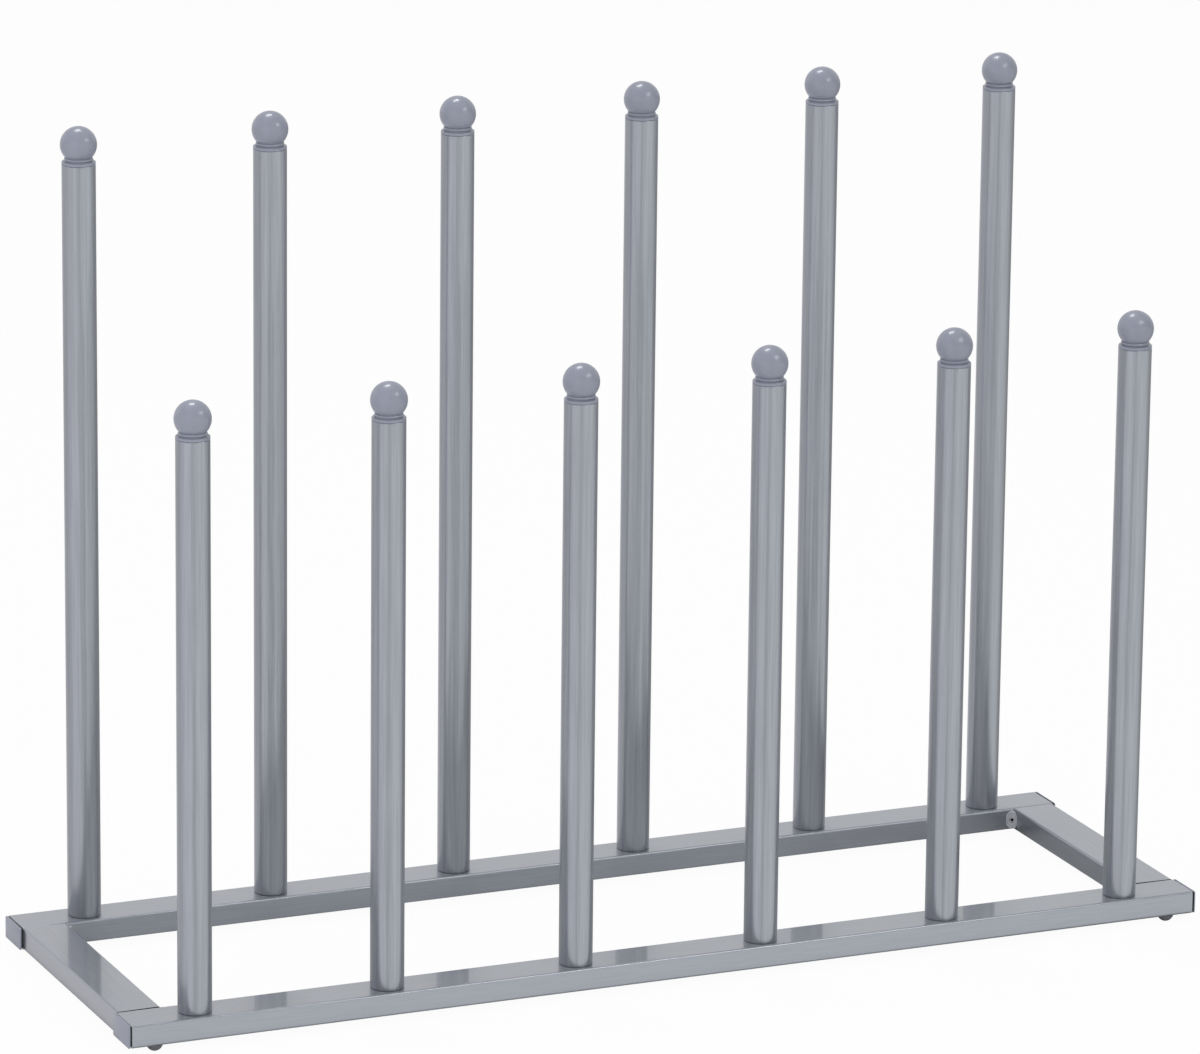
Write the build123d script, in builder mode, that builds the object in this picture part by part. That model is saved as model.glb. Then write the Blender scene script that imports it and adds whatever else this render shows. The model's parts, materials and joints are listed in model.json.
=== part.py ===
"""Boot rack for six pairs of boots, in millimetres.

Two full-length rails and two short side rails, all 30 x 15 tube, make a flat frame on four
small feet. Twelve round posts stand on the long rails: short ones in front, tall ones behind.
Each carries an upturned boot. A moulded ball closes the top of each post.

Origin: centre of the footprint, on the floor. +X along the rack, -Y is the front, +Z up.
"""

import os

from build123d import *

# Frame tube
rail_length = 750.0
rack_depth = 240.0
rail_width = 30.0
rail_height = 15.0
rail_wall = 1.0
rail_radius = 1.5

# Posts
posts_in_row = 6
post_pitch = 131.0
post_diameter = 22.0
post_wall = 1.0
post_lengths = {"front": 375.0, "rear": 505.0}

# Feet
foot_height = 4.5
foot_diameter = 10.9
foot_flat = 3.6
foot_dome = 5.5  # radius of the rounded side
foot_hole = 5.0
foot_slit = 0.9
foot_stem = 5.0
foot_from_end = 17.0
foot_from_face = 6.0

# Finials
ball_diameter = 23.9
ball_rise = 12.7  # centre of the ball above the end of the tube
neck_diameter = 17.6
neck_flare = 18.9
collar_height = 2.1
fin_depth = 22.0
fin_width = 2.4

# Post fixing: a bolt from inside the rail, up through a plug in the post, into a nut
bolt_diameter = 6.0
bolt_length = 16.0
bolt_head_height = 4.0
bolt_hole = 6.6
hexagon = 10.0  # across the flats of the bolt's head and of the nut
key_hole = 14.0
nut_height = 5.0
plug_floor = 4.0
plug_wall = 2.0
plug_depth = 20.0
rib_width = 1.4

# End caps
cap_flange = 1.0
cap_edge = 0.4
cap_gap = 1.2
cap_recess = 1.2  # how far the gap is set in, all round
cap_depth = 8.0
cap_wall = 2.0

# Corner connectors
connector_depth = 24.0
connector_web = 9.0
connector_wall = 2.0
tongue_height = 8.8
tongue_length = 19.0
tongue_start = -2.8  # from the frame's inner corner, along the long rail
tongue_end = 17.8
tongue_slit = 1.6
tongue_tip = 2.0
gusset_leg = 5.6
gusset_height = 12.0
gusset_rim = 1.1
gusset_recess = 0.5
corner_screw_diameter = 4.0
corner_screw_length = 12.0
corner_screw_key = 2.0
corner_screw_sink = 1.1

fit = 0.15  # gap left around a piece that slides into another

# Worked out from the above
rail_base = foot_height
rail_top = rail_base + rail_height
rail_middle = rail_base + rail_height / 2
rail_y = (rack_depth - rail_width) / 2
side_x = (rail_length - rail_width) / 2
side_length = rack_depth - 2 * rail_width
corner_x = rail_length / 2 - rail_width
corner_y = side_length / 2
rail_bore_width = rail_width - 2 * rail_wall
rail_bore_height = rail_height - 2 * rail_wall
post_radius = post_diameter / 2
post_bore = post_radius - post_wall
foot_x = rail_length / 2 - foot_from_end
foot_y = rack_depth / 2 - foot_from_face
rows = {"front": -1, "rear": 1}
ends = {"left": -1, "right": 1}
post_x = [(i - (posts_in_row - 1) / 2) * post_pitch for i in range(posts_in_row)]
corners = [(f"{row}_{end}", sx, sy) for row, sy in rows.items() for end, sx in ends.items()]


def save(piece, name):
    """Labels a finished piece and writes it under its own name."""
    piece.label = name
    export_step(piece, f"parts/{name}.step")


def at_corner(piece, sx, sy):
    """A piece made for the corner at +X +Y, mirrored into the one at sx, sy."""
    if sx < 0:
        piece = mirror(piece, about=Plane.YZ)
    if sy < 0:
        piece = mirror(piece, about=Plane.XZ)
    return piece


def along_row(piece, row, z):
    """Copies of a small piece at each post of a row, as separate solids."""
    y = rows[row] * rail_y
    return [Pos(x, y, z) * piece for x in post_x]


def tube_section():
    """The frame tube's section, drawn on the sketch that is open."""
    RectangleRounded(rail_width, rail_height, rail_radius)
    inner_radius = rail_radius - rail_wall
    RectangleRounded(rail_bore_width, rail_bore_height, inner_radius, mode=Mode.SUBTRACT)


def long_rail(row):
    """A full-length rail with its bolt holes, key holes, foot holes and connector slots."""
    sy = rows[row]
    post_places = [(x, sy * rail_y) for x in post_x]
    slot_x = corner_x + (tongue_start + tongue_end) / 2
    slot_width = tongue_end - tongue_start + 4 * fit
    slot_height = tongue_height + 2 * fit
    with BuildPart() as rail:
        with BuildSketch(Plane.YZ.offset(-rail_length / 2)):
            with Locations((sy * rail_y, rail_middle)):
                tube_section()
        extrude(amount=rail_length)
        with BuildSketch(Plane.XY.offset(rail_top)):
            with Locations(post_places):
                Circle(bolt_hole / 2)
        extrude(amount=-2 * rail_wall, mode=Mode.SUBTRACT)
        with BuildSketch(Plane.XY.offset(rail_base)):
            with Locations(post_places):
                Circle(key_hole / 2)
            with Locations((-foot_x, sy * foot_y), (foot_x, sy * foot_y)):
                Circle(foot_hole / 2)
        extrude(amount=2 * rail_wall, mode=Mode.SUBTRACT)
        with BuildSketch(Plane.XZ.offset(-sy * corner_y)):
            with Locations((-slot_x, rail_middle), (slot_x, rail_middle)):
                Rectangle(slot_width, slot_height)
        extrude(amount=-sy * 2 * rail_wall, mode=Mode.SUBTRACT)
    return rail.part


def side_rail(sx):
    """A short rail between the long ones, notched inside where the gussets come out."""
    with BuildPart() as rail:
        with BuildSketch(Plane.XZ.offset(-corner_y)):
            with Locations((sx * side_x, rail_middle)):
                tube_section()
        extrude(amount=side_length)
        with BuildSketch(Plane.YZ.offset(sx * corner_x)):
            with Locations((-corner_y, rail_middle), (corner_y, rail_middle)):
                Rectangle(2 * (gusset_leg + fit), gusset_height + 2 * fit)
        extrude(amount=sx * 2 * rail_wall, mode=Mode.SUBTRACT)
    return rail.part


def end_cap():
    """Moulded cap for a long rail: a proud flange, a dark gap and a hollow, ribbed plug."""
    end = Plane.YZ.offset(rail_length / 2)
    centre = (rail_y, rail_middle)
    plug_width = rail_bore_width - 4 * fit
    plug_height = rail_bore_height - 4 * fit
    with BuildPart() as cap:
        with BuildSketch(end.offset(cap_gap)):
            with Locations(centre):
                RectangleRounded(rail_width, rail_height, rail_radius)
        extrude(amount=cap_flange)
        chamfer(cap.faces().sort_by(Axis.X)[-1].edges(), cap_edge)
        with BuildSketch(end):
            with Locations(centre):
                Rectangle(rail_width - 2 * cap_recess, rail_height - 2 * cap_recess)
        extrude(amount=cap_gap)
        with BuildSketch(end):
            with Locations(centre):
                Rectangle(plug_width, plug_height)
        extrude(amount=-cap_depth)
        with BuildSketch(end):
            with Locations(centre):
                Rectangle(rail_bore_width, rib_width)
                with GridLocations(plug_width / 2, 0, 2, 1):
                    Rectangle(rib_width, rail_bore_height)
        extrude(amount=2 - cap_depth)
        with BuildSketch(end.offset(-cap_depth)):
            with Locations(centre):
                Rectangle(plug_width - 2 * cap_wall, plug_height - 2 * cap_wall)
        extrude(amount=cap_depth, mode=Mode.SUBTRACT)
    return cap.part


def foot():
    """Domed glide with a slit stem, pressed into the underside of a long rail."""
    radius = foot_diameter / 2
    flat = foot_flat / 2
    with BuildPart() as glide:
        with BuildSketch(Plane.XZ):
            with BuildLine():
                RadiusArc((flat, 0), (radius, rail_base), -foot_dome)
                Polyline((radius, rail_base), (0, rail_base), (0, 0), (flat, 0))
            make_face()
        revolve(axis=Axis.Z)
        with BuildSketch(Plane.XY.offset(rail_base)):
            Circle(foot_hole / 2)
            Rectangle(foot_hole, foot_slit, mode=Mode.SUBTRACT)
        extrude(amount=foot_stem)
    return Pos(foot_x, foot_y, 0) * glide.part


def gusset_plane():
    """The gusset's sloping face: its normal looks out of the corner, on the diagonal."""
    half = gusset_leg / 2
    origin = (corner_x - half, corner_y - half, rail_middle)
    return Plane(origin=origin, x_dir=(1, -1, 0), z_dir=(-1, -1, 0))


def connector():
    """Moulded corner connector.

    A gusset with rounded ends and a raised rim stands in the frame's inner corner, with a screw
    hole on the diagonal. Behind it a cored plug fills the end of the side rail, and a split
    tongue reaches through the slot in the long rail.
    """
    face = gusset_leg * 2**0.5
    left, right = corner_x + tongue_start, corner_x + tongue_end
    near, far = corner_y, corner_y + tongue_length
    core_pitch = (rail_bore_width - connector_wall) / 2
    screw_end = corner_screw_sink + corner_screw_length
    slit_x = corner_x - gusset_leg / 2 + screw_end / 2**0.5
    with BuildPart() as joint:
        # gusset, cut off flush with the long rail
        with BuildSketch(gusset_plane()):
            RectangleRounded(face, gusset_height, 0.45 * face)
        extrude(amount=-face)
        with BuildSketch(Plane.XZ.offset(-corner_y)):
            with Locations((corner_x, rail_middle)):
                Rectangle(6 * gusset_leg, 2 * gusset_height)
        extrude(amount=-2 * gusset_leg, mode=Mode.SUBTRACT)
        # plug in the side rail, with two pockets from its inner end
        with BuildSketch(Plane.XZ.offset(-corner_y)):
            with Locations((side_x, rail_middle)):
                Rectangle(rail_bore_width - 2 * fit, rail_bore_height - 2 * fit)
        extrude(amount=connector_depth)
        with BuildSketch(Plane.XZ.offset(connector_depth - corner_y)):
            with Locations((side_x, rail_middle)):
                with GridLocations(core_pitch, 0, 2, 1):
                    core_width = core_pitch - connector_wall
                    Rectangle(core_width, rail_bore_height - 2 * connector_wall)
        extrude(amount=connector_web - connector_depth, mode=Mode.SUBTRACT)
        # tongue in the long rail
        with BuildSketch(Plane.XY.offset(rail_middle - tongue_height / 2)):
            with BuildLine():
                Polyline(
                    (left, near),
                    (right, near),
                    (right, far - tongue_tip),
                    (right - tongue_tip, far),
                    (left + tongue_tip, far),
                    (left, far - tongue_tip),
                    close=True,
                )
            make_face()
        extrude(amount=tongue_height)
        with BuildSketch(Plane.XY.offset(rail_middle - tongue_height / 2)):
            with Locations((slit_x, far)):
                Rectangle(tongue_slit, 2 * (far - near - tongue_tip))
        extrude(amount=tongue_height, mode=Mode.SUBTRACT)
        # recess inside the gusset's rim, and the screw hole
        with BuildSketch(gusset_plane()):
            inner = face - 2 * gusset_rim
            RectangleRounded(inner, gusset_height - 2 * gusset_rim, 0.45 * inner)
        extrude(amount=-gusset_recess, mode=Mode.SUBTRACT)
        with BuildSketch(gusset_plane()):
            Circle(corner_screw_diameter / 2 + fit / 2)
        extrude(amount=-screw_end, mode=Mode.SUBTRACT)
    return joint.part


def corner_screw():
    """Set screw with a hexagon socket, sunk a little below the gusset's face."""
    head = gusset_plane().offset(-corner_screw_sink)
    with BuildPart() as screw:
        with BuildSketch(head):
            Circle(corner_screw_diameter / 2)
        extrude(amount=-corner_screw_length)
        with BuildSketch(head):
            RegularPolygon(corner_screw_key / 2, 6, major_radius=False)
        extrude(amount=-corner_screw_key, mode=Mode.SUBTRACT)
    return screw.part


def post(x, row):
    """Round tube, open at both ends, standing on a rail."""
    with BuildPart() as tube:
        with BuildSketch(Plane.XY.offset(rail_top)):
            with Locations((x, rows[row] * rail_y)):
                Circle(post_radius)
                Circle(post_bore, mode=Mode.SUBTRACT)
        extrude(amount=post_lengths[row])
    return tube.part


def finial():
    """Moulded ball on a flared neck and a collar, with crossed fins for the post.

    The end of the tube is at z = 0.
    """
    ball = ball_diameter / 2
    neck = neck_diameter / 2
    neck_z = ball_rise - (ball**2 - neck**2) ** 0.5
    with BuildPart() as knob:
        with BuildSketch(Plane.XZ):
            with BuildLine():
                ThreePointArc((0, ball_rise + ball), (ball, ball_rise), (neck, neck_z))
                Polyline(
                    (neck, neck_z),
                    (neck_flare / 2, collar_height),
                    (post_radius, collar_height),
                    (post_radius, 0),
                    (0, 0),
                    (0, ball_rise + ball),
                )
            make_face()
        revolve(axis=Axis.Z)
        with BuildSketch():
            Rectangle(2 * post_bore, fin_width)
            Rectangle(fin_width, 2 * post_bore)
            Circle(post_bore, mode=Mode.INTERSECT)
        extrude(amount=-fin_depth)
    return knob.part


def post_plug():
    """Moulded star-shaped plug in the foot of a post, with a pocket for the nut. Foot at z = 0."""
    pocket = hexagon / 2 + fit
    with BuildPart() as plug:
        with BuildSketch():
            RegularPolygon(pocket + plug_wall, 6, major_radius=False)
            with PolarLocations(post_bore * 0.8, 6):
                Rectangle(post_bore * 0.5, rib_width)
            Circle(post_bore, mode=Mode.INTERSECT)
        extrude(amount=plug_depth)
        with BuildSketch(Plane.XY.offset(plug_floor)):
            RegularPolygon(pocket, 6, major_radius=False)
        extrude(amount=plug_depth, mode=Mode.SUBTRACT)
        with BuildSketch():
            Circle(bolt_hole / 2)
        extrude(amount=plug_floor, mode=Mode.SUBTRACT)
    return plug.part


def bolt():
    """Hexagon bolt, pointing up. The seat of its head is at z = 0."""
    with BuildPart() as screw:
        with BuildSketch():
            RegularPolygon(hexagon / 2, 6, major_radius=False)
        extrude(amount=-bolt_head_height)
        with BuildSketch():
            Circle(bolt_diameter / 2)
        extrude(amount=bolt_length)
    return screw.part


def nut():
    """Hexagon nut. Its lower face is at z = 0."""
    with BuildPart() as piece:
        with BuildSketch():
            RegularPolygon(hexagon / 2, 6, major_radius=False)
            Circle(bolt_diameter / 2 + fit / 2, mode=Mode.SUBTRACT)
        extrude(amount=nut_height)
    return piece.part


os.makedirs("parts", exist_ok=True)

# Frame
for row in rows:
    save(long_rail(row), f"{row}_rail")
for end, sx in ends.items():
    save(side_rail(sx), f"{end}_side_rail")

# Corners
the_cap, the_connector = end_cap(), connector()
for corner, sx, sy in corners:
    save(at_corner(the_cap, sx, sy), f"{corner}_end_cap")
    save(at_corner(the_connector, sx, sy), f"{corner}_connector")
for name, piece in {"feet": foot(), "corner_screws": corner_screw()}.items():
    save(Compound(children=[at_corner(piece, sx, sy) for _, sx, sy in corners]), name)

# Posts, with the balls and plugs that close them
the_finial, the_plug = finial(), post_plug()
for row, length in post_lengths.items():
    for number, x in enumerate(post_x, start=1):
        save(post(x, row), f"{row}_post_{number}")
    save(Compound(children=along_row(the_finial, row, rail_top + length)), f"{row}_finials")
    save(Compound(children=along_row(the_plug, row, rail_top)), f"{row}_post_plugs")

# Post fixings
fixings = {"post_bolts": (bolt(), rail_top - rail_wall), "post_nuts": (nut(), rail_top + plug_floor)}
for name, (piece, z) in fixings.items():
    save(Compound(children=[copy for row in rows for copy in along_row(piece, row, z)]), name)
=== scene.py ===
"""Dresses the boot rack: fine turned pieces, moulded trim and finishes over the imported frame.

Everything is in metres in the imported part's own frame: +X along the rack, -Y the front, +Z up.
"""

import json
import math

import bpy
from mathutils import Matrix, Vector


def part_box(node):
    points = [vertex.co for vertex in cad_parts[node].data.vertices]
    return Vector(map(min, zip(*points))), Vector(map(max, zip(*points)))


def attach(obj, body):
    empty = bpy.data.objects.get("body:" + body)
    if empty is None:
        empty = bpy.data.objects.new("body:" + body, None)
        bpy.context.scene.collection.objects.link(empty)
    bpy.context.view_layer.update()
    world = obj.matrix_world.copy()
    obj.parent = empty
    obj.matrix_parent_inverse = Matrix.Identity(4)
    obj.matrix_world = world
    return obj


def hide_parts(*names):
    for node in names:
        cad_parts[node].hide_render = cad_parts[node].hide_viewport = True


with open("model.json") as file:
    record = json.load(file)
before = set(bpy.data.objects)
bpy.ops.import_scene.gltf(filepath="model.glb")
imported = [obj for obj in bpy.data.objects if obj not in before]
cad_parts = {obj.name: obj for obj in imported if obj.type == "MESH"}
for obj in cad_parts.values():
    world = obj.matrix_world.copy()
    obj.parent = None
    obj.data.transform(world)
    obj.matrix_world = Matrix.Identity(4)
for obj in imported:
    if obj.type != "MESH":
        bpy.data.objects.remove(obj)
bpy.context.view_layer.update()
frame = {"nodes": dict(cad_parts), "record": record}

MM = 0.001
ROWS = ("front", "rear")
ENDS = ("left", "right")
CORNERS = [f"{row}_{end}" for row in ROWS for end in ENDS]
POSTS = range(1, 7)

# Modelling: sides of a full turn, the angle past which an edge stays sharp, how close points are
# merged, and how close they count as level
TURN_STEPS = 72
SHARP = math.radians(35)
MERGE = MM / 200
LEVEL = MM / 100

# Posts
POST_RADIUS = 11.0 * MM
POST_BORE = 10.0 * MM
RIM_TOP = 0.35 * MM
RIM_FOOT = 0.6 * MM

# Finials, with heights above the end of the tube
BALL_RADIUS = 11.95 * MM
BALL_RISE = 12.7 * MM
NECK_RADIUS = 8.6 * MM
COLLAR_HEIGHT = 2.0 * MM
COLLAR_ROUND = 0.75 * MM
COLLAR_FOOT = 0.35 * MM
GROOVE_RADIUS = 8.7 * MM
GROOVE_TOP = 2.45 * MM
RING_RADIUS = 9.35 * MM
FIN_DEPTH = 22.0 * MM
FIN_WIDTH = 2.4 * MM
FIN_REACH = 9.92 * MM
FIN_EDGE = 0.3 * MM
FIN_TURN = math.radians(37)

# Feet
FOOT_RADIUS = 5.45 * MM
FOOT_FLAT = 1.8 * MM
FOOT_DOME = 5.5 * MM
FOOT_EDGE = 0.3 * MM
FOOT_HEIGHT = 4.5 * MM
STEM_RADIUS = 2.5 * MM
STEM_HEIGHT = 5.0 * MM

# End caps
CAP_FLANGE = 1.0 * MM
CAP_CORNER = 1.5 * MM
CAP_ROUND = 0.45 * MM
CAP_GAP = 1.2 * MM
CAP_RECESS = 1.2 * MM
CAP_RECESS_TOP = 0.35 * MM
CAP_PLUG_INSET = 1.3 * MM
CAP_WALL = 2.0 * MM

# Gussets, and the bead over the rim of each
GUSSET_FACE = 7.92 * MM
GUSSET_HEIGHT = 12.0 * MM
GUSSET_ROUND = 3.56 * MM
BEAD_WIDTH = 1.15 * MM
BEAD_DEPTH = 0.45 * MM
BEAD_ROUND = 0.3 * MM
BEAD_PROUD = 0.12 * MM

# Set screws: the sum of |x| and |y| where the painted shade inside a socket starts
SOCKET_SHADE_START = 431.3 * MM

# Joints between side rails and long rails: the width of the painted shade line at the outer and
# the inner side, and the share of it that is left at the rear, where the joint catches the light
SEAM_SHADE_OUTER = 0.05 * MM
SEAM_SHADE_INNER = 0.9 * MM
SEAM_SHADE_REAR = 0.2

# Painted shade: the near-black colour painted where shade falls in deep gaps, joint lines and
# screw sockets, and how far it goes past the cap's own faces
SHADOW = (0.012, 0.012, 0.014, 1)
GAP_SHADE_MARGIN = 0.05 * MM

# Patterns in the finishes, in waves per metre, and how deep their relief is
FLAKES = 2600
STREAKS = 260
LINES = 850
CLOUDS = 14
PEEL = 420
FLOW = 55
SPECKS = 3000
SINKS = 240
MOTTLE = 70
CRYSTALS = 1400
STAINS = 120
FIBRES = 900
RELIEF = 0.02 * MM
GRAIN_RELIEF = 0.04 * MM

# Lacquers: how the drawing lines stretch along a tube, and what sets rails and posts apart
ALONG_X = (0.04, 1, 1)
ALONG_Y = (1, 0.04, 1)
ALONG_Z = (1, 1, 0.02)
COAT_IOR = 1.7
RAIL_LOOK = {"metal": 0.75, "rough": 0.27, "coat": 1.0, "coat_rough": 0.03, "streaky": 0.09}
POST_LOOK = {"metal": 0.8, "rough": 0.26, "coat": 0.5, "coat_rough": 0.18, "streaky": 0.2}

# Camera: how it is turned, where it looks and how far it sees, then its lens and sensor in mm
CAMERA_YAW = math.radians(23.28)
CAMERA_PITCH = math.radians(15.44)
CAMERA_ROLL = math.radians(0.62)
CAMERA_TARGET = Vector((-0.0064, 0, 0.2786))
CAMERA_DISTANCE = 5.052
CAMERA_CLIP = 100
CAMERA_LENS = 232.2
CAMERA_SENSOR = 36

# Floor: its size, the two shades of its paper, and the share of white in what the camera sees
FLOOR_SIZE = 60
PAPER = ((0.78, 0.78, 0.78, 1), (0.82, 0.82, 0.82, 1))
WHITE = (1, 1, 1, 1)
WHITE_SHARE = 0.96

# Painted shade on the floor: the strip under the rack that gloss sees darkened. Its edges, which
# fade from the first number to the second, its colours at the left and right, the stretch of x
# over which they change, and how much of the strip shows, with what is added at the right
SHADE_STRIP_FRONT = (-0.138, -0.122)
SHADE_STRIP_REAR = (0.16, 0.13)
SHADE_STRIP_SIDES = (0.386, 0.376)
SHADE_STRIP_COLOURS = ((0.41, 0.435, 0.435, 1), (0.34, 0.355, 0.35, 1))
SHADE_STRIP_CHANGE = (0.15, 0.31)
SHADE_STRIP_SHARE = 0.78
SHADE_STRIP_SHARE_RIGHT = 0.1

# Light of the studio's parts as the world's strength, and its tint
TABLE_LIGHT = 0.96
TABLE_GAP = 0.33
TABLE_DUSK = 0.27
ROOM_LIGHT = 0.42
BACKDROP_LIGHT = 0.3
SIDE_LIGHT = 0.3
CEILING_LIGHT = 0.1
TINT_LEFT = (0.98, 0.98, 1.01, 1)
TINT_RIGHT = (0.97, 1.0, 1.0, 1)


# ---------------------------------------------------------------- modelling

def start_fresh():
    """Leaves nothing selected, so that an operator acts on the new piece alone."""
    if bpy.context.object and bpy.context.object.mode != "OBJECT":
        bpy.ops.object.mode_set(mode="OBJECT")
    bpy.ops.object.select_all(action="DESELECT")


def arc(centre, radius, start, end, steps):
    """Points (r, z) of an arc, with its angles in degrees from the outward direction."""
    angles = [math.radians(start + (end - start) * i / steps) for i in range(steps + 1)]
    return [(centre[0] + radius * math.cos(a), centre[1] + radius * math.sin(a)) for a in angles]


def turned(name, profile):
    """A solid of revolution about Z: traces the profile (r, z) from one vertex, then spins it."""
    start_fresh()
    bpy.ops.mesh.primitive_plane_add(size=MM)
    piece = bpy.context.object
    piece.name = piece.data.name = name
    bpy.ops.object.mode_set(mode="EDIT")
    bpy.ops.mesh.merge(type="CENTER")
    bpy.ops.transform.translate(value=(profile[0][0], 0, profile[0][1]))
    for (r, z), (next_r, next_z) in zip(profile, profile[1:]):
        step = {"value": (next_r - r, 0, next_z - z)}
        bpy.ops.mesh.extrude_region_move(TRANSFORM_OT_translate=step)
    bpy.ops.mesh.select_all(action="SELECT")
    bpy.ops.mesh.spin(steps=TURN_STEPS, angle=math.tau, center=(0, 0, 0), axis=(0, 0, 1))
    finish_mesh()
    return piece


def finish_mesh():
    """Merges what the last steps left doubled, turns the faces outwards and shades the piece."""
    bpy.ops.mesh.select_all(action="SELECT")
    bpy.ops.mesh.remove_doubles(threshold=MERGE)
    bpy.ops.mesh.normals_make_consistent(inside=False)
    bpy.ops.object.mode_set(mode="OBJECT")
    bpy.ops.object.shade_smooth_by_angle(angle=SHARP)


def settle():
    """Puts the active object's place into its mesh, so the object sits at the origin."""
    bpy.ops.object.transform_apply(location=True, rotation=True, scale=True)


def block(low, high):
    """A box between two corners, left in edit mode."""
    start_fresh()
    low, high = Vector(low), Vector(high)
    bpy.ops.mesh.primitive_cube_add(size=1, location=(low + high) / 2, scale=high - low)
    settle()
    bpy.ops.object.mode_set(mode="EDIT")
    return bpy.context.object


def pick_edges(piece, wanted):
    """Selects the edges whose two ends pass a test."""
    bpy.ops.mesh.select_mode(type="EDGE")
    bpy.ops.mesh.select_all(action="DESELECT")
    bpy.ops.object.mode_set(mode="OBJECT")
    points = piece.data.vertices
    for edge in piece.data.edges:
        edge.select = wanted(*(points[v].co for v in edge.vertices))
    bpy.ops.object.mode_set(mode="EDIT")


def pick_faces(piece, wanted):
    """Selects the faces whose normal passes a test."""
    bpy.ops.mesh.select_mode(type="FACE")
    bpy.ops.mesh.select_all(action="DESELECT")
    bpy.ops.object.mode_set(mode="OBJECT")
    for face in piece.data.polygons:
        face.select = wanted(face.normal)
    bpy.ops.object.mode_set(mode="EDIT")


def level_with(x):
    """A test for edges that lie at one x."""
    return lambda a, b: max(abs(a.x - x), abs(b.x - x)) < LEVEL


def lengthwise(a, b):
    """A test for edges along X."""
    return abs(a.x - b.x) > 10 * (abs(a.y - b.y) + abs(a.z - b.z))


def join(name, *parts):
    """Joins parts into one piece."""
    start_fresh()
    for part in parts:
        part.select_set(True)
    bpy.context.view_layer.objects.active = parts[0]
    bpy.ops.object.join()
    piece = bpy.context.object
    piece.name = piece.data.name = name
    return piece


def copy_of(piece, name, matrix):
    """A copy with its own mesh, moved by the matrix in that mesh."""
    twin = piece.copy()
    twin.data = piece.data.copy()
    twin.name = twin.data.name = name
    twin.data.transform(matrix)
    if matrix.determinant() < 0:
        twin.data.flip_normals()
    bpy.context.scene.collection.objects.link(twin)
    return twin


def fit(piece, node, slot):
    """Puts the piece on the rack's one body, in place of a CAD node where one is named."""
    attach(piece, "root")
    if node:
        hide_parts(node)
    piece.data.materials.clear()
    piece.data.materials.append(finishes[slot])


# ---------------------------------------------------------------- pieces

def make_posts(row):
    """Tubes with a wall, and rims eased at both ends so that each joint reads as a line."""
    low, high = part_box(f"{row}_post_1")
    base, top = low.z, high.z
    profile = [
        (POST_BORE, base),
        (POST_RADIUS - RIM_FOOT, base),
        *arc((POST_RADIUS - RIM_FOOT, base + RIM_FOOT), RIM_FOOT, -75, 0, 4),
        *arc((POST_RADIUS - RIM_TOP, top - RIM_TOP), RIM_TOP, 0, 90, 3),
        (POST_BORE, top),
        (POST_BORE, base),
    ]
    tube = turned(f"{row}_tube", profile)
    for number in POSTS:
        node = f"{row}_post_{number}"
        low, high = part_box(node)
        middle = (low + high) / 2
        place = Matrix.Translation((middle.x, middle.y, 0))
        fit(copy_of(tube, f"{row}_tube_{number}", place), node, "post_lacquer")
    bpy.data.objects.remove(tube)


def finial_profile():
    """The finial's outline from the axis under its collar up to the top of the ball."""
    neck_angle = -math.degrees(math.acos(NECK_RADIUS / BALL_RADIUS))
    ring_middle = (GROOVE_TOP + BALL_RISE - math.sqrt(BALL_RADIUS**2 - NECK_RADIUS**2)) / 2
    ring_round = ring_middle - GROOVE_TOP
    return [
        (0, 0),
        (POST_RADIUS - COLLAR_FOOT, 0),
        (POST_RADIUS, COLLAR_FOOT),
        *arc((POST_RADIUS - COLLAR_ROUND, COLLAR_HEIGHT - COLLAR_ROUND), COLLAR_ROUND, 0, 90, 5),
        (GROOVE_RADIUS, COLLAR_HEIGHT),
        (GROOVE_RADIUS, GROOVE_TOP),
        *arc((RING_RADIUS - ring_round, ring_middle), ring_round, -75, 80, 8),
        *arc((0, BALL_RISE), BALL_RADIUS, neck_angle, 90, 30),
    ]


def make_finials():
    """Balls on ringed necks, each with the crossed fins that hold it in its post."""
    ball = turned("ball", finial_profile())
    fins = []
    for x, y in ((FIN_REACH, FIN_WIDTH / 2), (FIN_WIDTH / 2, FIN_REACH)):
        fins.append(block((-x, -y, -FIN_DEPTH), (x, y, 0)))
        bpy.ops.mesh.bevel(offset=FIN_EDGE, segments=1)
        bpy.ops.object.mode_set(mode="OBJECT")
    finial = join("finial", ball, *fins)
    for row in ROWS:
        for number in POSTS:
            low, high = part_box(f"{row}_post_{number}")
            middle = (low + high) / 2
            spin = Matrix.Rotation(FIN_TURN * number, 4, "Z")
            place = Matrix.Translation((middle.x, middle.y, high.z)) @ spin
            fit(copy_of(finial, f"{row}_ball_{number}", place), f"{row}_finials", "moulded_trim")
    bpy.data.objects.remove(finial)


def corner_signs(corner):
    """-1 or 1 along X and along Y for a corner's name."""
    return (1 if "right" in corner else -1), (1 if "rear" in corner else -1)


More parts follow.
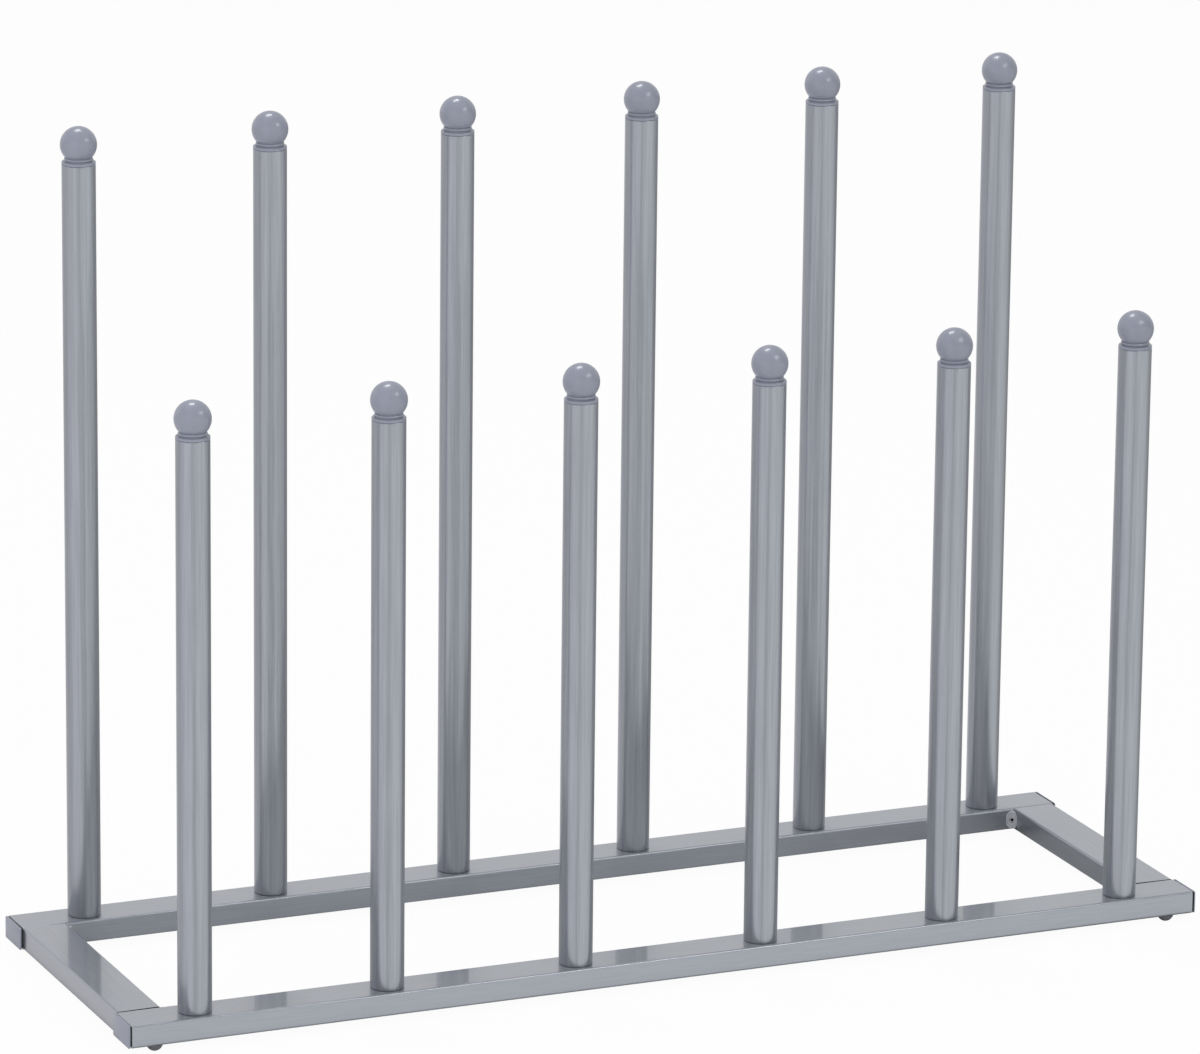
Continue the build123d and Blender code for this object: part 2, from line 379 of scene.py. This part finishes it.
def make_feet():
    """Domed glides with a slight rolled edge under the rail."""
    centre = math.sqrt(FOOT_DOME**2 - FOOT_FLAT**2)
    edge_height = FOOT_HEIGHT - FOOT_EDGE
    start = -math.degrees(math.acos(FOOT_FLAT / FOOT_DOME))
    end = -math.degrees(math.asin((centre - edge_height) / FOOT_DOME))
    stem_top = FOOT_HEIGHT + STEM_HEIGHT
    profile = [
        (0, 0),
        *arc((0, centre), FOOT_DOME, start, end, 14),
        *arc((FOOT_RADIUS - FOOT_EDGE, edge_height), FOOT_EDGE, 10, 90, 3),
        (STEM_RADIUS, FOOT_HEIGHT),
        (STEM_RADIUS, stem_top - FOOT_EDGE),
        (STEM_RADIUS - FOOT_EDGE, stem_top),
        (0, stem_top),
    ]
    foot = turned("foot", profile)
    low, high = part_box("feet")
    x, y = high.x - FOOT_RADIUS, high.y - FOOT_RADIUS
    for corner in CORNERS:
        sx, sy = corner_signs(corner)
        place = Matrix.Translation((sx * x, sy * y, 0))
        fit(copy_of(foot, f"{corner}_foot", place), "feet", "foot_moulding")
    bpy.data.objects.remove(foot)


def cap_plate(low, high):
    """The cap's cover plate, with the tube's corners and a rounded outer edge."""
    inner = high.x - CAP_FLANGE
    plate = block((inner, low.y, low.z), high)
    pick_edges(plate, lengthwise)
    bpy.ops.mesh.bevel(offset=CAP_CORNER, segments=5)
    pick_edges(plate, level_with(high.x))
    bpy.ops.mesh.bevel(offset=CAP_ROUND, segments=4)
    pick_edges(plate, level_with(inner))
    bpy.ops.mesh.bevel(offset=CAP_ROUND / 3, segments=1)
    bpy.ops.object.mode_set(mode="OBJECT")
    return plate


def cap_neck(low, high):
    """The set-back neck between the plate and the tube, which leaves a gap. The gap is dark from
    its depth and from painted shade.
    """
    start = Vector((high.x - CAP_FLANGE - CAP_GAP, low.y + CAP_RECESS, low.z + CAP_RECESS))
    end = Vector((high.x - CAP_FLANGE / 2, high.y - CAP_RECESS, high.z - CAP_RECESS_TOP))
    neck = block(start, end)
    pick_edges(neck, lengthwise)
    bpy.ops.mesh.bevel(offset=CAP_CORNER / 3, segments=2)
    bpy.ops.object.mode_set(mode="OBJECT")
    return neck


def cap_plug(low, high):
    """The hollow plug inside the tube."""
    inset = Vector((0, CAP_PLUG_INSET, CAP_PLUG_INSET))
    end = Vector((high.x - CAP_FLANGE - CAP_GAP, high.y, high.z))
    plug = block(low + inset, end - inset)
    pick_edges(plug, lengthwise)
    bpy.ops.mesh.bevel(offset=CAP_CORNER / 3, segments=2)
    pick_faces(plug, lambda normal: normal.x < -0.9)
    bpy.ops.mesh.inset(thickness=CAP_WALL)
    depth = end.x - low.x - CAP_WALL
    bpy.ops.mesh.extrude_region_move(TRANSFORM_OT_translate={"value": (depth, 0, 0)})
    bpy.ops.object.mode_set(mode="OBJECT")
    return plug


def make_end_caps():
    """Cover plates on hollow plugs, one in each end of the long rails."""
    low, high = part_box("rear_right_end_cap")
    cap = join("cap", cap_plate(low, high), cap_neck(low, high), cap_plug(low, high))
    bpy.ops.object.shade_smooth_by_angle(angle=SHARP)
    for corner in CORNERS:
        sx, sy = corner_signs(corner)
        place = Matrix.Diagonal((sx, sy, 1, 1))
        fit(copy_of(cap, f"{corner}_cap", place), f"{corner}_end_cap", "moulded_trim")
    bpy.data.objects.remove(cap)


def make_gusset_rims():
    """A rounded bead over the raised rim of each corner gusset."""
    side_low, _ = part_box("right_side_rail")
    rail_low, rail_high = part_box("rear_rail")
    half = GUSSET_FACE / 2 / math.sqrt(2)
    middle = Vector((side_low.x - half, rail_low.y - half, (rail_low.z + rail_high.z) / 2))
    start_fresh()
    bpy.ops.mesh.primitive_plane_add(size=1)
    bead = bpy.context.object
    bead.scale = (GUSSET_FACE, GUSSET_HEIGHT, 1)
    settle()
    bpy.ops.object.mode_set(mode="EDIT")
    bpy.ops.mesh.bevel(offset=GUSSET_ROUND, segments=8, affect="VERTICES")
    bpy.ops.mesh.inset(thickness=BEAD_WIDTH)
    bpy.ops.mesh.delete(type="FACE")
    bpy.ops.mesh.select_all(action="SELECT")
    rise = {"value": (0, 0, BEAD_DEPTH)}
    bpy.ops.mesh.extrude_region_move(TRANSFORM_OT_translate=rise)
    pick_edges(bead, lambda a, b: min(a.z, b.z) > BEAD_DEPTH / 2)
    bpy.ops.mesh.bevel(offset=BEAD_ROUND, segments=3)
    finish_mesh()
    upright = Matrix.Rotation(math.pi / 2, 4, "X")
    to_corner = Matrix.Rotation(-math.pi / 4, 4, "Z")
    sink = Matrix.Translation((0, 0, BEAD_PROUD - BEAD_DEPTH))
    bead.data.transform(Matrix.Translation(middle) @ to_corner @ upright @ sink)
    for corner in CORNERS:
        sx, sy = corner_signs(corner)
        place = Matrix.Diagonal((sx, sy, 1, 1))
        fit(copy_of(bead, f"{corner}_gusset_rim", place), None, "inner_moulding")
    bpy.data.objects.remove(bead)


# ---------------------------------------------------------------- finishes

class Value:
    """A node's output. Sums, products and comparisons of values add Math nodes."""

    def __init__(self, finish, socket):
        self.finish = finish
        self.socket = socket

    def _math(self, operation, *operands):
        settings = {"operation": operation}
        return self.finish.node("ShaderNodeMath", settings, dict(enumerate(operands)))["Value"]

    def __add__(self, other):
        return self._math("ADD", self, other)

    def __sub__(self, other):
        return self._math("SUBTRACT", self, other)

    def __rsub__(self, other):
        return self._math("SUBTRACT", other, self)

    def __mul__(self, other):
        return self._math("MULTIPLY", self, other)

    def __gt__(self, other):
        return self._math("GREATER_THAN", self, other)

    def __lt__(self, other):
        return self._math("LESS_THAN", self, other)

    def __abs__(self):
        return self._math("ABSOLUTE", self)

    __radd__ = __add__
    __rmul__ = __mul__


class Finish:
    """A material while it is built: adds nodes and links what feeds them."""

    def __init__(self, name, owner=None):
        if owner is None:
            owner = bpy.data.materials.new(name)
            owner.use_nodes = True
        self.owner = owner
        self.tree = owner.node_tree
        self.tree.nodes.clear()

    def node(self, kind, settings=None, inputs=None):
        """Adds one node: its settings first, then the values or links of its sockets."""
        made = self.tree.nodes.new(kind)
        for key, value in (settings or {}).items():
            setattr(made, key, value)
        for key, value in (inputs or {}).items():
            if isinstance(value, Value):
                self.tree.links.new(value.socket, made.inputs[key])
            else:
                made.inputs[key].default_value = value
        return Outputs(self, made)

    def place(self, scale=(1, 1, 1)):
        """Object coordinates, stretched."""
        coordinates = self.node("ShaderNodeTexCoord")["Object"]
        return self.node("ShaderNodeMapping", {}, {"Vector": coordinates, "Scale": scale})["Vector"]

    def noise(self, scale, detail=2.0, stretch=(1, 1, 1)):
        """Smooth noise from 0 to 1. Scale is in waves per metre."""
        values = {"Vector": self.place(stretch), "Scale": scale, "Detail": detail}
        return self.node("ShaderNodeTexNoise", {}, values)["Fac"]

    def blend(self, factor, first, second):
        """A colour between two colours."""
        settings = {"data_type": "RGBA", "clamp_factor": True}
        return self.node("ShaderNodeMix", settings, {0: factor, 6: first, 7: second})[2]

    def bump(self, height, distance, strength=1.0, normal=None):
        """A normal tilted by a height from 0 to 1, in metres of distance."""
        values = {"Height": height, "Distance": distance, "Strength": strength}
        if normal is not None:
            values["Normal"] = normal
        return self.node("ShaderNodeBump", {}, values)["Normal"]

    def surface(self, **sockets):
        """The principled surface. A socket such as Coat IOR is given as coat_ior, and constants
        are set on the sockets themselves."""
        values = {}
        for key, value in sockets.items():
            values[key.replace("_", " ").title().replace("Ior", "IOR")] = value
        shader = self.node("ShaderNodeBsdfPrincipled", {}, values)["BSDF"]
        self.node("ShaderNodeOutputMaterial", {}, {"Surface": shader})
        return self.owner


class Outputs:
    """A node's outputs, by name or number."""

    def __init__(self, finish, made):
        self.finish = finish
        self.made = made

    def __getitem__(self, key):
        return Value(self.finish, self.made.outputs[key])


def ramp(finish, value, start, end, low=0.0, high=1.0):
    """A smooth step from low to high while the value goes from start to end."""
    settings = {"interpolation_type": "SMOOTHSTEP"}
    values = {"Value": value, "From Min": start, "From Max": end, "To Min": low, "To Max": high}
    return finish.node("ShaderNodeMapRange", settings, values)["Result"]


def shade(colour, factor):
    """A colour made lighter or darker, with alpha 1."""
    return (*(min(1, c * factor) for c in colour), 1)


def lacquer(name, colour, along, metal, rough, coat, coat_rough, streaky, painted_seams=False):
    """Metallic lacquer on steel tube: flakes, drawing lines along the tube and orange peel."""
    finish = Finish(name)
    flakes = finish.noise(FLAKES, detail=1.0)
    streaks = finish.noise(STREAKS, detail=3.0, stretch=along)
    lines = ramp(finish, finish.noise(LINES, stretch=along), 0.28, 0.72)
    clouds = finish.noise(CLOUDS)
    tone = flakes * 0.15 + streaks * 0.35 + lines * 0.4 + clouds * 0.1
    colour = finish.blend(tone, shade(colour, 1 - streaky), shade(colour, 1 + streaky))
    # Painted shade: the side rails' joint lines are painted near black and lose their coat
    if painted_seams:
        seam_shade = joint_seam_shade(finish)
        colour = finish.blend(seam_shade, colour, SHADOW)
        coat = coat * (1 - seam_shade)
    peel = finish.bump(finish.noise(PEEL), RELIEF, 0.1)
    return finish.surface(
        base_color=colour,
        metallic=metal,
        roughness=rough + flakes * 0.04 + streaks * 0.06,
        coat_weight=coat,
        coat_roughness=coat_rough,
        coat_ior=COAT_IOR,
        normal=finish.bump(lines, RELIEF, streaky, normal=peel),
    )


def joint_seam_shade(finish):
    """1 in the line of painted shade where a side rail butts against a long rail, else 0. The line
    gets wider towards the middle of the frame and narrower towards the rear."""
    place = finish.node("ShaderNodeSeparateXYZ", {}, {0: finish.place()})
    side_low, side_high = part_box("right_side_rail")
    opening = ramp(finish, abs(place["X"]), side_high.x, side_low.x, SEAM_SHADE_OUTER, SEAM_SHADE_INNER)
    opening = opening * ramp(finish, place["Y"], side_low.y, side_high.y, 1.0, SEAM_SHADE_REAR)
    return abs(place["Y"]) + opening > side_high.y


def cap_gap_shade(finish):
    """1 or more where painted shade darkens the gap between a cap's plate and the end of its tube,
    else 0. In front, the top of the gap is shallow and stays clear."""
    place = finish.node("ShaderNodeSeparateXYZ", {}, {0: finish.place()})
    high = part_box("rear_right_end_cap")[1]
    end = high.x - CAP_FLANGE + GAP_SHADE_MARGIN
    inside = (abs(place["X"]) < end) * (abs(place["X"]) > end - CAP_GAP - 2 * GAP_SHADE_MARGIN)
    deep = (place["Z"] < high.z - CAP_RECESS_TOP - GAP_SHADE_MARGIN) + (place["Y"] > 0)
    return inside * deep


def moulded_gloss(name, colour):
    """Smooth moulding: slight flow clouds in the colour and a skin with tiny sinks."""
    finish = Finish(name)
    clouds = finish.noise(FLOW, detail=3.0)
    specks = finish.noise(SPECKS, detail=1.0)
    tone = clouds * 0.7 + specks * 0.3
    colour = finish.blend(tone, shade(colour, 0.84), shade(colour, 0.98))
    # Painted shade: the gap behind each end cap's plate is painted near black
    colour = finish.blend(cap_gap_shade(finish), colour, SHADOW)
    sinks = finish.noise(SINKS)
    return finish.surface(
        base_color=colour,
        roughness=0.3 + clouds * 0.1,
        coat_weight=0.5,
        coat_roughness=0.09,
        normal=finish.bump(sinks, RELIEF, 0.04),
    )


def moulded_plain(name, colour, roughness, grain, low, high):
    """Unpolished moulding with a spark-eroded grain, between two shades of its colour."""
    finish = Finish(name)
    texture = finish.noise(grain)
    clouds = finish.noise(MOTTLE)
    tone = clouds * 0.6 + texture * 0.4
    colour = finish.blend(tone, shade(colour, low), shade(colour, high))
    return finish.surface(
        base_color=colour,
        roughness=roughness + texture * 0.12,
        normal=finish.bump(texture, GRAIN_RELIEF, 0.5),
    )


def zinc(name, colour, socket=False):
    """Bright zinc plate: small crystals of slightly different tone under a passivated skin. The
    corner screws' sockets are painted dark inside, as painted shade in the recess."""
    finish = Finish(name)
    values = {"Vector": finish.place(), "Scale": CRYSTALS}
    crystals = finish.node("ShaderNodeTexVoronoi", {"feature": "F1"}, values)["Distance"]
    stain = finish.noise(STAINS, detail=3.0)
    colour = finish.blend(stain * 0.6 + crystals * 0.4, shade(colour, 0.82), shade(colour, 1.1))
    # Painted shade: the inside of each screw socket is painted near black
    if socket:
        place = finish.node("ShaderNodeSeparateXYZ", {}, {0: finish.place()})
        colour = finish.blend(abs(place["X"]) + abs(place["Y"]) > SOCKET_SHADE_START, colour, SHADOW)
    return finish.surface(
        base_color=colour,
        metallic=1.0,
        roughness=0.24 + stain * 0.16,
        normal=finish.bump(crystals, RELIEF, 0.4),
    )


def record_colour(slot):
    """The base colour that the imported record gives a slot."""
    colours = {m["slot"]: m["base_color"] for m in frame["record"]["materials"]}
    return colours[slot]


def dress_nodes():
    """Gives each CAD node its slot's finish, or its own where that differs a little."""
    slots = {s["node"]: s["material_slot"] for s in frame["record"]["subparts"]}
    own = {f"{end}_side_rail": "side_rail" for end in ENDS}
    own["corner_screws"] = "set_screw"
    for name, node in frame["nodes"].items():
        node.data.materials.clear()
        node.data.materials.append(finishes[own.get(name, slots[name])])


# ---------------------------------------------------------------- studio

def make_camera():
    """A long lens with a slight roll, looking down on the rack from its left front."""
    tilt = Matrix.Rotation(math.pi / 2 - CAMERA_PITCH, 4, "X")
    turn = Matrix.Rotation(-CAMERA_YAW, 4, "Z") @ tilt
    back = turn @ Vector((0, 0, CAMERA_DISTANCE))
    camera = bpy.data.objects.new("camera", bpy.data.cameras.new("camera"))
    camera.data.sensor_width = CAMERA_SENSOR
    camera.data.lens = CAMERA_LENS
    camera.data.clip_end = CAMERA_CLIP
    roll = Matrix.Rotation(CAMERA_ROLL, 4, "Z")
    camera.matrix_world = Matrix.Translation(CAMERA_TARGET + back) @ turn @ roll
    bpy.context.scene.collection.objects.link(camera)
    bpy.context.scene.camera = camera


def softbox(name, azimuth, elevation, distance, width, height, power, in_gloss=True):
    """An area lamp that faces the rack. Its azimuth is counted from the front to the right."""
    a, e = math.radians(azimuth), math.radians(elevation)
    away = Vector((math.sin(a) * math.cos(e), -math.cos(a) * math.cos(e), math.sin(e)))
    lamp = bpy.data.lights.new(name, "AREA")
    lamp.shape = "RECTANGLE"
    lamp.size = width
    lamp.size_y = height
    lamp.energy = power
    holder = bpy.data.objects.new(name, lamp)
    holder.location = CAMERA_TARGET + away * distance
    holder.visible_glossy = in_gloss
    holder.rotation_euler = away.to_track_quat("Z", "Y").to_euler()
    bpy.context.scene.collection.objects.link(holder)


def make_floor():
    """Pale paper. It keeps a faint shadow and shows nearly white to the camera. Gloss sees the
    studio through it, apart from the strip under the rack, where gloss sees painted shade."""
    start_fresh()
    bpy.ops.mesh.primitive_plane_add(size=FLOOR_SIZE)
    floor = bpy.context.object
    floor.name = "floor"
    finish = Finish("floor_paper")
    path = finish.node("ShaderNodeLightPath")
    paper = finish.blend(finish.noise(FIBRES), *PAPER)
    place = finish.node("ShaderNodeSeparateXYZ", {}, {0: finish.place()})
    right = ramp(finish, place["X"], *SHADE_STRIP_CHANGE)
    # Painted shade: gloss sees the paper darker, and darker still towards the right
    paper = finish.blend(path["Is Glossy Ray"], paper, finish.blend(right, *SHADE_STRIP_COLOURS))
    plain = finish.node("ShaderNodeBsdfDiffuse", {}, {"Color": paper})["BSDF"]
    white = finish.node("ShaderNodeEmission", {}, {"Color": WHITE})["Emission"]
    seen = path["Is Camera Ray"] * WHITE_SHARE
    lit = finish.node("ShaderNodeMixShader", {}, {0: seen, 1: plain, 2: white})["Shader"]
    through = finish.node("ShaderNodeBsdfTransparent")["BSDF"]
    across = ramp(finish, place["Y"], *SHADE_STRIP_FRONT) * ramp(finish, place["Y"], *SHADE_STRIP_REAR)
    under = ramp(finish, abs(place["X"]), *SHADE_STRIP_SIDES) * across
    # Painted shade: in the strip under the rack, gloss sees dark paper instead of the studio
    strip = under * (SHADE_STRIP_SHARE + right * SHADE_STRIP_SHARE_RIGHT)
    clear = path["Is Glossy Ray"] * (1 - strip)
    mixed = finish.node("ShaderNodeMixShader", {}, {0: clear, 1: lit, 2: through})["Shader"]
    finish.node("ShaderNodeOutputMaterial", {}, {"Surface": mixed})
    floor.data.materials.append(finish.owner)


def make_world():
    """A studio seen by direction: a bright table below, darker far away, at the left and in a gap
    towards the camera, a pale backdrop beyond it, a lit side at the left and a dim room. Each
    direction is split into cosines: away from the camera, to its right and up. The camera itself
    sees white."""
    world = bpy.data.worlds.new("studio")
    world.use_nodes = True
    bpy.context.scene.world = world
    finish = Finish("studio", world)
    ahead = Vector((math.sin(CAMERA_YAW), math.cos(CAMERA_YAW), 0))
    aside = Vector((ahead.y, -ahead.x, 0))
    direction = finish.node("ShaderNodeTexCoord")["Generated"]

    def along(axis):
        settings = {"operation": "DOT_PRODUCT"}
        return finish.node("ShaderNodeVectorMath", settings, {0: direction, 1: axis})["Value"]

    away, right, up = along(ahead), along(aside), along((0, 0, 1))
    gap = ramp(finish, abs(right - 0.1), 0.22, 0.04) * ramp(finish, away, -0.3, -0.8)
    dusk = ramp(finish, away, -0.7, 0.1) * ramp(finish, right, -0.3, -0.9)
    far = ramp(finish, away, -0.1, 0.8) * ramp(finish, right, -0.7, 0.6, 0.1, 0.64)
    table = TABLE_LIGHT - gap * TABLE_GAP - dusk * TABLE_DUSK - far
    backdrop = ramp(finish, away, 0.2, 0.75) * ramp(finish, up, 0.75, 0.35)
    side = ramp(finish, right, -0.6, -0.85) * ramp(finish, up, 0.6, 0.4)
    ceiling = ramp(finish, up, 0.4, 0.95)
    room = ROOM_LIGHT + backdrop * BACKDROP_LIGHT + side * SIDE_LIGHT + ceiling * CEILING_LIGHT
    horizon = ramp(finish, away, 0.1, -0.4, 0.04, 0.4)
    below = ramp(finish, up - horizon, 0, -0.14)
    level = below * table + (1 - below) * room
    camera = finish.node("ShaderNodeLightPath")["Is Camera Ray"]
    strength = level * (1 - camera) + camera
    tint = finish.blend(ramp(finish, right, -0.4, 0.4), TINT_LEFT, TINT_RIGHT)
    colour = finish.blend(camera, tint, WHITE)
    light = finish.node("ShaderNodeBackground", {}, {"Color": colour, "Strength": strength})
    finish.node("ShaderNodeOutputWorld", {}, {"Surface": light["Background"]})


# ---------------------------------------------------------------- the scene

rail_colour = record_colour("rail_lacquer")
post_colour = record_colour("post_lacquer")
trim_colour = record_colour("moulded_trim")
nylon_colour = record_colour("inner_moulding")
foot_colour = record_colour("foot_moulding")
zinc_colour = record_colour("zinc_plate")
finishes = {
    "rail_lacquer": lacquer("rail_lacquer", rail_colour, ALONG_X, **RAIL_LOOK),
    "side_rail": lacquer("side_rail_lacquer", rail_colour, ALONG_Y, **RAIL_LOOK, painted_seams=True),
    "post_lacquer": lacquer("post_lacquer", post_colour, ALONG_Z, **POST_LOOK),
    "moulded_trim": moulded_gloss("moulded_trim", trim_colour),
    # Random tone and painted shade: the gussets are set to 76 to 96 per cent of their record
    # colour, partly for the shade of the inner corners
    "inner_moulding": moulded_plain(
        "inner_moulding", nylon_colour, roughness=0.45, grain=1500, low=0.76, high=0.96),
    # Painted shade: the feet are darkened to 55 to 85 per cent of their record colour, for the
    # shade under the rail
    "foot_moulding": moulded_plain(
        "foot_moulding", foot_colour, roughness=0.3, grain=900, low=0.55, high=0.85),
    "zinc_plate": zinc("zinc_plate", zinc_colour),
    "set_screw": zinc("set_screw", zinc_colour, socket=True),
}

dress_nodes()
for row in ROWS:
    make_posts(row)
make_finials()
make_feet()
make_end_caps()
make_gusset_rims()

make_camera()
make_floor()
make_world()
softbox(
    "overhead_softbox", azimuth=182, elevation=69, distance=3.3, width=1.15, height=0.85, power=30)
softbox("side_softbox", azimuth=34, elevation=43, distance=1.74, width=0.8, height=0.5, power=4.5)
softbox(
    "front_softbox", azimuth=-55, elevation=30, distance=1.7, width=0.95, height=0.8, power=6.6,
    in_gloss=False)

bpy.context.scene.view_settings.view_transform = "Standard"
